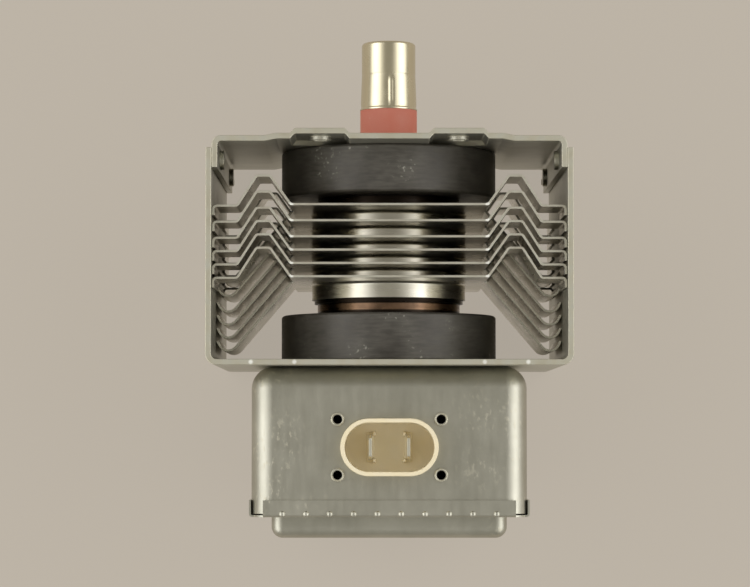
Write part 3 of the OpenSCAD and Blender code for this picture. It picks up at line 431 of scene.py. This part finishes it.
def turned_copper(m):
    """Turned copper, browned by the brazing furnace, with painted shade: near-black all over but for a band
    at the anode's foot, for the shade above the first fin and the dark lines beside that band.
    """
    place = add(m, "TexCoord", {}, "Object")
    round_it = add(m, "Mapping", {"Vector": place, "Scale": (0.08, 1, 0.08)})
    rings = add(m, "TexNoise", {"Vector": round_it, "Scale": per_mm(0.8), "Detail": 4.0})
    stain = add(m, "TexNoise", {"Vector": place, "Scale": per_mm(7), "Detail": 3.0})
    brown = add(m, "MapRange", {"Value": stain, "From Min": 0.4, "From Max": 0.7})
    bare = add(
        m,
        "Mix",
        {SHARE: brown, COLOUR_A: colours().copper, COLOUR_B: colours().tarnish},
        MIXED,
        data_type="RGBA",
    )
    level = add(m, "SeparateXYZ", {0: place}, "Y")
    # Painted shade: away from a band at its foot the copper is blackened, standing in for shade in the slot
    # above the first fin and beside the band
    foot_to_band, bare_half, black_from = 1.5 * MM, 0.7 * MM, 1.0 * MM
    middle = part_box("anode_cylinder")[0].y + foot_to_band
    from_band = add(m, "Math", {0: level, 1: -middle}, operation="ADD")
    away = add(m, "Math", {0: from_band}, operation="ABSOLUTE")
    blackened = add(
        m,
        "MapRange",
        {"Value": away, "From Min": bare_half, "From Max": black_from, "To Max": 0.95},
    )
    colour = add(
        m,
        "Mix",
        {SHARE: blackened, COLOUR_A: bare, COLOUR_B: colours().soot_and_shade},
        MIXED,
        data_type="RGBA",
    )
    rough = add(
        m,
        "MapRange",
        {"Value": rings, "From Min": 0.3, "From Max": 0.7, "To Min": 0.22, "To Max": 0.4},
    )
    skin = add(m, "Bump", {"Height": rings, "Strength": 0.25, "Distance": 0.04 * MM})
    return add(
        m,
        "BsdfPrincipled",
        {"Base Color": colour, "Metallic": 1.0, "Roughness": rough, "Normal": skin},
    )


def nickel_plate(m):
    """Bright nickel over drawn steel: warm mirror-like reflections, softened by faint draw rings."""
    place = add(m, "TexCoord", {}, "Object")
    round_it = add(m, "Mapping", {"Vector": place, "Scale": (0.06, 1, 0.06)})
    rings = add(m, "TexNoise", {"Vector": round_it, "Scale": per_mm(1.2), "Detail": 1.0})
    haze = add(m, "TexNoise", {"Vector": place, "Scale": per_mm(4), "Detail": 1.0})
    rough = add(
        m,
        "MapRange",
        {"Value": haze, "From Min": 0.35, "From Max": 0.7, "To Min": 0.22, "To Max": 0.28},
    )
    skin = add(m, "Bump", {"Height": rings, "Strength": 0.05, "Distance": 0.02 * MM})
    return add(
        m,
        "BsdfPrincipled",
        {"Base Color": colours().nickel, "Metallic": 1.0, "Roughness": rough, "Normal": skin},
    )


def fired_ceramic(m, colour):
    """Sintered alumina: matt, faintly speckled, with tiny pits."""
    place = add(m, "TexCoord", {}, "Object")
    specks = add(m, "TexNoise", {"Vector": place, "Scale": per_mm(0.6), "Detail": 3.0})
    clouds = add(m, "TexNoise", {"Vector": place, "Scale": per_mm(5), "Detail": 2.0})
    pale = add(m, "MapRange", {"Value": specks, "From Min": 0.7, "From Max": 0.8, "To Max": 0.5})
    light = add(m, "MapRange", {"Value": clouds, "From Min": 0.3, "From Max": 0.7, "To Max": 0.05})
    both = add(m, "Math", {0: pale, 1: light}, operation="MAXIMUM")
    tone = add(
        m,
        "Mix",
        {SHARE: both, COLOUR_A: colour, COLOUR_B: colours().pale_alumina},
        MIXED,
        data_type="RGBA",
    )
    skin = add(m, "Bump", {"Height": specks, "Strength": 0.2, "Distance": 0.04 * MM})
    return add(
        m,
        "BsdfPrincipled",
        {"Base Color": tone, "Roughness": 0.6, "Specular IOR Level": 0.3, "Normal": skin},
    )


def pink_alumina(m):
    """The antenna's ceramic, coloured pink by its chrome oxide."""
    return fired_ceramic(m, colours().alumina)


def white_alumina(m):
    """The white ceramic of the stem and of the capacitor."""
    return fired_ceramic(m, colours().pale_alumina)


def cream_resin(m):
    """Moulded glass-filled polyester: cream, semi-gloss, with slow waves of shrinkage."""
    place = add(m, "TexCoord", {}, "Object")
    clouds = add(m, "TexNoise", {"Vector": place, "Scale": per_mm(4), "Detail": 3.0})
    lighter = add(m, "MapRange", {"Value": clouds, "From Min": 0.3, "From Max": 0.7, "To Max": 0.25})
    tone = add(
        m,
        "Mix",
        {SHARE: lighter, COLOUR_A: colours().resin, COLOUR_B: colours().pale_alumina},
        MIXED,
        data_type="RGBA",
    )
    rough = add(
        m,
        "MapRange",
        {"Value": clouds, "From Min": 0.3, "From Max": 0.7, "To Min": 0.32, "To Max": 0.46},
    )
    skin = add(m, "Bump", {"Height": clouds, "Strength": 0.15, "Distance": 0.2 * MM})
    return add(m, "BsdfPrincipled", {"Base Color": tone, "Roughness": rough, "Normal": skin})


def dark_metal(m, colour):
    """A turned or drawn metal that was never plated: even, dull reflections with fine lines."""
    place = add(m, "TexCoord", {}, "Object")
    lines = add(m, "TexNoise", {"Vector": place, "Scale": per_mm(0.7), "Detail": 3.0})
    rough = add(
        m,
        "MapRange",
        {"Value": lines, "From Min": 0.3, "From Max": 0.7, "To Min": 0.35, "To Max": 0.5},
    )
    return add(m, "BsdfPrincipled", {"Base Color": colour, "Metallic": 1.0, "Roughness": rough})


def soft_iron(m):
    """The pole pieces' annealed iron."""
    return dark_metal(m, colours().iron)


def burnt_steel(m):
    """The seal cups' steel, blackened in the brazing furnace."""
    return dark_metal(m, colours().soot_and_shade)


def tungsten(m):
    """The cathode's tungsten and molybdenum."""
    return dark_metal(m, colours().tungsten)


def table_top(m):
    """A pale matt table with a faint fine grain. Seen directly or mirrored, most of it is a glow of its own
    colour, so that it stays pale in the gaps between the fins, where little light falls."""
    place = add(m, "TexCoord", {}, "Object")
    grain = add(m, "TexNoise", {"Vector": place, "Scale": per_mm(1.5), "Detail": 3.0})
    skin = add(m, "Bump", {"Height": grain, "Strength": 0.1, "Distance": 0.1 * MM})
    matt = add(m, "BsdfPrincipled", {"Base Color": colours().floor, "Roughness": 0.7, "Normal": skin})
    glow = add(m, "Emission", {"Color": colours().floor, "Strength": 1.0})
    seen = add(m, "LightPath", {}, "Is Camera Ray")
    mirrored = add(m, "LightPath", {}, "Is Glossy Ray")
    shown = add(m, "Math", {0: seen, 1: mirrored}, operation="MAXIMUM")
    share = add(m, "Math", {0: shown, 1: FLOOR_GLOW}, operation="MULTIPLY")
    return add(m, "MixShader", {0: share, 1: matt, 2: glow})


def pick(piece, kind, test):
    """Selects, in edit mode, the vertices or faces that pass a test."""
    bpy.ops.mesh.select_mode(type={"verts": "VERT", "faces": "FACE"}[kind])
    bpy.ops.mesh.select_all(action="DESELECT")
    shape = bmesh.from_edit_mesh(piece.data)
    for element in getattr(shape, kind):
        if test(element):
            element.select_set(True)
    bmesh.update_edit_mesh(piece.data, loop_triangles=False, destructive=False)


def rounded(piece, width):
    """Rounds a piece's cut edges, which take its last finish, and evens its shading."""
    bpy.ops.object.mode_set(mode="OBJECT")
    bpy.ops.object.shade_smooth()
    bevel = piece.modifiers.new("rounding", "BEVEL")
    bevel.width = width
    bevel.segments = 3
    bevel.limit_method = "ANGLE"
    bevel.angle_limit = SHARP
    bevel.use_clamp_overlap = False
    bevel.material = len(piece.data.materials) - 1
    piece.modifiers.new("even_shading", "WEIGHTED_NORMAL")
    for modifier in [m.name for m in piece.modifiers]:
        bpy.ops.object.modifier_apply(modifier=modifier)


def settled(piece, name, slot, recipes, *nodes):
    """Names a finished piece, gives it its finishes and ties it to the part."""
    piece.name = name
    piece.data.name = name
    for place, recipe in enumerate(recipes):
        if place < len(piece.data.materials):
            piece.data.materials[place] = finish(recipe)
        else:
            piece.data.materials.append(finish(recipe))
    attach(piece, "root")
    if nodes:
        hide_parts(*nodes)
    return piece


def rounded_copy(node, width, slot, recipes, sheared=None):
    """A copy of a node with rounded edges. Faces that pass the sheared test take the second finish too."""
    bpy.ops.object.select_all(action="DESELECT")
    source = frame["nodes"][node]
    source.select_set(True)
    bpy.context.view_layer.objects.active = source
    bpy.ops.object.duplicate()
    piece = bpy.context.active_object
    del piece["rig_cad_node"]
    piece.data.materials.clear()
    for recipe in recipes:
        piece.data.materials.append(finish(recipe))
    bpy.ops.object.mode_set(mode="EDIT")
    bpy.ops.mesh.select_all(action="SELECT")
    bpy.ops.mesh.remove_doubles(threshold=WELD)
    bpy.ops.mesh.dissolve_limited(angle_limit=FLAT)
    if sheared:
        pick(piece, "faces", sheared)
        piece.active_material_index = len(recipes) - 1
        bpy.ops.object.material_slot_assign()
    rounded(piece, width)
    return settled(piece, node + "_finished", slot, recipes, node)


def faces_front_or_rear(face):
    """True for the flat cut edges, not for the facets of a round collar."""
    square_on = 0.9999
    return abs(face.normal.z) > square_on


def lathe(profile, centre, axis, steps):
    """Turns a closed profile about an axis into a closed ring or cup."""
    bpy.ops.object.select_all(action="DESELECT")
    bpy.ops.mesh.primitive_plane_add(size=MM, location=profile[0])
    bpy.ops.object.transform_apply(location=True)
    piece = bpy.context.active_object
    bpy.ops.object.mode_set(mode="EDIT")
    bpy.ops.mesh.select_mode(type="VERT")
    bpy.ops.mesh.select_all(action="SELECT")
    bpy.ops.mesh.merge(type="CENTER")
    for here, there in zip(profile, profile[1:] + profile[:1]):
        bpy.ops.mesh.extrude_region_move(TRANSFORM_OT_translate={"value": there - here})
    bpy.ops.mesh.select_all(action="SELECT")
    bpy.ops.mesh.remove_doubles(threshold=WELD)
    bpy.ops.mesh.spin(steps=steps, angle=math.tau, center=centre, axis=axis)
    bpy.ops.mesh.select_all(action="SELECT")
    bpy.ops.mesh.remove_doubles(threshold=WELD)
    bpy.ops.mesh.delete_loose()
    bpy.ops.mesh.select_all(action="SELECT")
    bpy.ops.mesh.normals_make_consistent(inside=False)
    return piece


def moved_copy(piece, shift):
    """A copy of a piece with a mesh of its own, which is moved while the origin stays."""
    bpy.ops.object.select_all(action="DESELECT")
    piece.select_set(True)
    bpy.context.view_layer.objects.active = piece
    bpy.ops.object.duplicate()
    bpy.ops.object.mode_set(mode="EDIT")
    bpy.ops.mesh.select_all(action="SELECT")
    bpy.ops.transform.translate(value=shift)
    bpy.ops.object.mode_set(mode="OBJECT")
    return bpy.context.active_object


def moulded_block(foot, extent, taper, rounding):
    """A block that stands on a floor, with drafted sides and rounded edges."""
    bpy.ops.object.select_all(action="DESELECT")
    bpy.ops.mesh.primitive_cube_add(size=1, location=foot + Vector((0, 0, extent.z / 2)))
    block = bpy.context.active_object
    block.scale = extent
    bpy.ops.object.transform_apply(location=True, scale=True)
    bpy.ops.object.mode_set(mode="EDIT")
    nearly_up = 0.9
    pick(block, "faces", lambda face: face.normal.z > nearly_up)
    bpy.ops.transform.resize(value=taper, center_override=foot)
    rounded(block, rounding)
    return block


def arc(centre, radius, start, end, steps):
    """Points of an arc in a plane, from one angle to another in degrees."""
    turn = [math.radians(start + (end - start) * i / steps) for i in range(steps + 1)]
    return [(centre[0] + radius * math.cos(a), centre[1] + radius * math.sin(a)) for a in turn]


class MAGNETRON_OT_yoke(bpy.types.Operator):
    """Bracket and top plate, with sheared front and rear edges"""

    bl_idname = "magnetron.yoke"
    bl_label = "Yoke"

    def execute(self, context):
        for node in ("yoke_bracket", "yoke_top_plate"):
            recipes = (zinc_plated_yoke, sheared_steel)
            rounded_copy(node, sizes().sheet_edge, "zinc_steel", recipes, faces_front_or_rear)
        return {"FINISHED"}


class MAGNETRON_OT_magnets(bpy.types.Operator):
    """The two ring magnets"""

    bl_idname = "magnetron.magnets"
    bl_label = "Magnets"

    def execute(self, context):
        for node in ("upper_magnet", "lower_magnet"):
            rounded_copy(node, sizes().magnet_edge, "ferrite", (ground_ferrite,))
        return {"FINISHED"}


class MAGNETRON_OT_fins(bpy.types.Operator):
    """The six cooling fins, with sheared edges"""

    bl_idname = "magnetron.fins"
    bl_label = "Cooling fins"

    def execute(self, context):
        for node in fin_names():
            recipes = (mill_aluminium, sheared_aluminium)
            rounded_copy(node, sizes().fin_edge, "aluminium", recipes, faces_front_or_rear)
        return {"FINISHED"}


class MAGNETRON_OT_antenna(bpy.types.Operator):
    """The antenna's ceramic and its drawn cap"""

    bl_idname = "magnetron.antenna"
    bl_label = "Antenna"

    def execute(self, context):
        rounded_copy("antenna_ceramic", sizes().ceramic_edge, "pink_ceramic", (pink_alumina,))
        low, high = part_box("antenna_cap")
        size = sizes()
        rim, foot, top = high.x, low.y, high.y
        wall, radius, corner = size.cap_wall, size.cap_radius, size.cap_corner
        waist = foot + size.cap_flare
        lip, neck = 0.35 * MM, 0.28 * MM
        draw_line = 0.06 * MM
        outer = [(rim, foot), (rim, foot + lip), (rim - neck, foot + 2 * lip)]
        rows = 12
        for i in range(1, rows + 1):
            level = foot + 3 * lip + (waist - foot - 3 * lip) * i / rows
            outer.append((rim - neck / 2 - (rim - neck / 2 - radius) * i / rows, level))
        outer += [(radius - draw_line, waist + lip / 2), (radius, waist + lip), (radius, top - corner)]
        outer += arc((radius - corner, top - corner), corner, 0, 90, steps=6)[1:]
        inner = arc((radius - corner, top - corner), corner - wall, 90, 0, steps=4)
        outline = outer + [(0, top), (0, top - wall)] + inner + [(radius - wall, waist), (rim - wall, foot)]
        cap = lathe([Vector((r, y, 0)) for r, y in outline], (0, 0, 0), (0, 1, 0), steps=160)
        crease_low, crease_high, crease_line = foot + 3 * lip, waist - 3 * lip, 0.2 * MM
        pick(
            cap,
            "verts",
            lambda v: abs(v.co.x - size.crease_x) < crease_line
            and v.co.z > 0
            and crease_low < v.co.y < crease_high
            and math.hypot(v.co.x, v.co.z) > radius - wall / 2,
        )
        bpy.ops.transform.translate(
            value=(0, 0, -size.crease_depth),
            use_proportional_edit=True,
            proportional_edit_falloff="SMOOTH",
            proportional_size=size.crease_half,
            use_proportional_connected=True,
        )
        bpy.ops.object.mode_set(mode="OBJECT")
        bpy.ops.object.shade_smooth_by_angle(angle=SHARP)
        settled(cap, "antenna_cap_finished", "nickel", (nickel_plate,), "antenna_cap")
        return {"FINISHED"}


class MAGNETRON_OT_filter_box(bpy.types.Operator):
    """The filter box; its lid shows as it is"""

    bl_idname = "magnetron.filter_box"
    bl_label = "Filter box"

    def execute(self, context):
        rounded_copy("filter_box", sizes().box_edge, "zinc_steel", (zinc_plated_box, sheared_steel))
        return {"FINISHED"}


class MAGNETRON_OT_connector(bpy.types.Operator):
    """The connector's moulding, its two blades, and the seats and bosses round them"""

    bl_idname = "magnetron.connector"
    bl_label = "Connector"

    def execute(self, context):
        size = sizes()
        rounded_copy("capacitor_outer_case", size.moulding_edge, "cream_plastic", (cream_resin,))
        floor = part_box("capacitor_outer_case")[1].z - size.recess_depth
        middles = []
        for blade in ("terminal_blade_left", "terminal_blade_right"):
            recipes = (nickel_plate, sheared_steel)
            rounded_copy(blade, size.blade_edge, "nickel", recipes, faces_front_or_rear)
            low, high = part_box(blade)
            middles.append((low + high) / 2)
        left, right = middles
        apart = right.x - left.x
        block_edge = 0.2 * MM
        extent = Vector((size.seat_width, size.seat_length, size.seat_height))
        foot = Vector((left.x, left.y, floor))
        seat = moulded_block(foot, extent, taper=(0.7, 0.92, 1), rounding=block_edge)
        seats = [seat, moved_copy(seat, (apart, 0, 0))]
        extent = Vector((size.boss_width, size.boss_length, size.boss_height))
        foot = Vector((left.x + size.boss_x, left.y - size.boss_y, floor))
        boss = moulded_block(foot, extent, taper=(0.7, 0.7, 1), rounding=block_edge)
        bosses = [boss]
        across, along = apart - 2 * size.boss_x, 2 * size.boss_y
        for shift in ((across, 0, 0), (0, along, 0), (across, along, 0)):
            bosses.append(moved_copy(boss, shift))
        for name, group in (("blade_seat_%d", seats), ("blade_boss_%d", bosses)):
            for number, piece in enumerate(group, 1):
                settled(piece, name % number, "cream_plastic", (cream_resin,))
        return {"FINISHED"}


class MAGNETRON_OT_eyelets(bpy.types.Operator):
    """The rolled rims of the earth plate's four eyelets"""

    bl_idname = "magnetron.eyelets"
    bl_label = "Eyelets"

    def execute(self, context):
        size = sizes()
        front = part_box("filter_box")[1].z
        low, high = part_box("capacitor_outer_case")
        middle = (low.y + high.y) / 2
        half = (size.eyelet_rim - size.eyelet_hole) / 2
        crown = arc((size.eyelet_hole + half, front), half, 180, 0, steps=8)
        height = size.eyelet_height / half
        x0, y0 = -size.eyelet_x, middle - size.eyelet_y
        profile = [Vector((x0 + r, y0, front + (z - front) * height)) for r, z in crown]
        first = lathe(profile, (x0, y0, front), (0, 0, 1), steps=40)
        bpy.ops.object.mode_set(mode="OBJECT")
        bpy.ops.object.shade_smooth_by_angle(angle=SHARP)
        rims = [first]
        for sx, sy in ((1, 0), (0, 1), (1, 1)):
            rims.append(moved_copy(first, (2 * size.eyelet_x * sx, 2 * size.eyelet_y * sy, 0)))
        for number, rim in enumerate(rims, 1):
            settled(rim, "eyelet_rim_%d" % number, "zinc_steel", (sheared_steel,))
        return {"FINISHED"}


class MAGNETRON_OT_plain_pieces(bpy.types.Operator):
    """Finishes of the part's own solids; the lid, the earth plate and the pieces inside show as they are"""

    bl_idname = "magnetron.plain_pieces"
    bl_label = "Plain pieces"

    def execute(self, context):
        recipes = {
            "zinc_steel": zinc_plated_box,
            "ferrite": ground_ferrite,
            "aluminium": mill_aluminium,
            "copper": turned_copper,
            "iron": soft_iron,
            "nickel": nickel_plate,
            "pink_ceramic": pink_alumina,
            "white_ceramic": white_alumina,
            "refractory": tungsten,
            "cream_plastic": cream_resin,
        }
        for entry in frame["record"]["subparts"]:
            blackened = entry["node"].endswith("seal_cup")
            for place in frame["nodes"][entry["node"]].material_slots:
                place.material = finish(burnt_steel if blackened else recipes[entry["material_slot"]])
        return {"FINISHED"}


class MAGNETRON_OT_stage(bpy.types.Operator):
    """Table, room, softboxes with their fill lights, and the camera"""

    bl_idname = "magnetron.stage"
    bl_label = "Stage"

    def fade(self, lamp):
        """Dims a light towards its two long edges, so that its reflections have no hard border."""
        lamp.use_nodes = True
        lamp.node_tree.nodes.clear()
        place = add(lamp, "NewGeometry", {}, "Parametric")
        across = add(lamp, "SeparateXYZ", {0: place}, "Y")
        even, half = 0.15, 0.5
        from_middle = add(lamp, "Math", {0: across, 1: half}, operation="SUBTRACT")
        away = add(lamp, "Math", {0: from_middle}, operation="ABSOLUTE")
        level = {"Value": away, "From Min": even, "From Max": half, "To Min": 1.0, "To Max": 0.0}
        glow = add(lamp, "Emission", {"Strength": add(lamp, "MapRange", level)})
        add(lamp, "OutputLight", {"Surface": glow})

    def execute(self, context):
        scene = context.scene
        size = sizes()
        scene.view_settings.view_transform = "Standard"
        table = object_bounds()[0].z
        span, depth = 4.0, 0.02
        bpy.ops.object.select_all(action="DESELECT")
        bpy.ops.mesh.primitive_plane_add(size=span, location=(0, 0, table))
        floor = context.active_object
        floor.name = "table"
        bpy.ops.object.transform_apply(location=True)
        bpy.ops.object.mode_set(mode="EDIT")
        bpy.ops.mesh.select_all(action="SELECT")
        bpy.ops.mesh.extrude_region_move(TRANSFORM_OT_translate={"value": (0, 0, -depth)})
        bpy.ops.mesh.select_all(action="SELECT")
        bpy.ops.mesh.normals_make_consistent(inside=False)
        bpy.ops.object.mode_set(mode="OBJECT")
        floor.data.materials.append(finish(table_top))
        floor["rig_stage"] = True

        room = bpy.data.worlds.new("studio")
        room.use_nodes = True
        room.node_tree.nodes["Background"].inputs["Color"].default_value = colours().studio
        scene.world = room

        target = Vector((0, size.aim_y, 0))
        long_side = 1.8
        softbox = ("softbox", 0.763, 0.48, 0.95, size.softbox_power)
        fill = ("fill", 0.5, 0.8, 0.5, size.fill_power)
        for name, across, height, width, power in (softbox, fill):
            for side, word in ((-1, "_left"), (1, "_right")):
                place = Vector((side * across, size.aim_y, height))
                bpy.ops.object.light_add(type="AREA", location=place)
                light = context.active_object
                light.name = name + word
                light.rotation_euler = (target - place).to_track_quat("-Z", "Y").to_euler()
                light.data.shape = "RECTANGLE"
                light.data.size = long_side
                light.data.size_y = width
                light.data.energy = power
                self.fade(light.data)

        place = Vector((size.camera_x, size.camera_y, size.camera_z))
        aim = Vector((size.aim_x, size.aim_y, table))
        bpy.ops.object.camera_add(location=place)
        camera = context.active_object
        back = (place - aim).normalized()
        right = Vector((0, 1, 0)).cross(back).normalized()
        camera.rotation_euler = Matrix((right, back.cross(right), back)).transposed().to_euler()
        camera.data.sensor_width = 36
        camera.data.lens = size.lens
        camera.data.clip_start = 0.01
        scene.camera = camera
        return {"FINISHED"}


OPERATORS = (
    MAGNETRON_OT_yoke,
    MAGNETRON_OT_magnets,
    MAGNETRON_OT_fins,
    MAGNETRON_OT_antenna,
    MAGNETRON_OT_filter_box,
    MAGNETRON_OT_connector,
    MAGNETRON_OT_eyelets,
    MAGNETRON_OT_plain_pieces,
    MAGNETRON_OT_stage,
)


class MAGNETRON_PT_looks(bpy.types.Panel):
    """Lists the pieces, their sizes and their colours"""

    bl_idname = "MAGNETRON_PT_looks"
    bl_label = "Magnetron looks"
    bl_space_type = "VIEW_3D"
    bl_region_type = "UI"
    bl_category = "Magnetron"

    def draw(self, context):
        for operator in OPERATORS:
            self.layout.operator(operator.bl_idname)
        for group in (sizes(), colours()):
            for name in group.__annotations__:
                self.layout.prop(group, name)


CLASSES = (MagnetronColours, MagnetronSizes) + OPERATORS + (MAGNETRON_PT_looks,)


def register():
    for entry in CLASSES:
        bpy.utils.register_class(entry)
    bpy.types.Scene.magnetron_colours = bpy.props.PointerProperty(type=MagnetronColours)
    bpy.types.Scene.magnetron_sizes = bpy.props.PointerProperty(type=MagnetronSizes)


def unregister():
    del bpy.types.Scene.magnetron_sizes
    del bpy.types.Scene.magnetron_colours
    for entry in reversed(CLASSES):
        bpy.utils.unregister_class(entry)


def main():
    register()
    bpy.ops.magnetron.yoke()
    bpy.ops.magnetron.magnets()
    bpy.ops.magnetron.fins()
    bpy.ops.magnetron.antenna()
    bpy.ops.magnetron.filter_box()
    bpy.ops.magnetron.connector()
    bpy.ops.magnetron.eyelets()
    bpy.ops.magnetron.plain_pieces()
    bpy.ops.magnetron.stage()


if __name__ == "__main__":
    main()
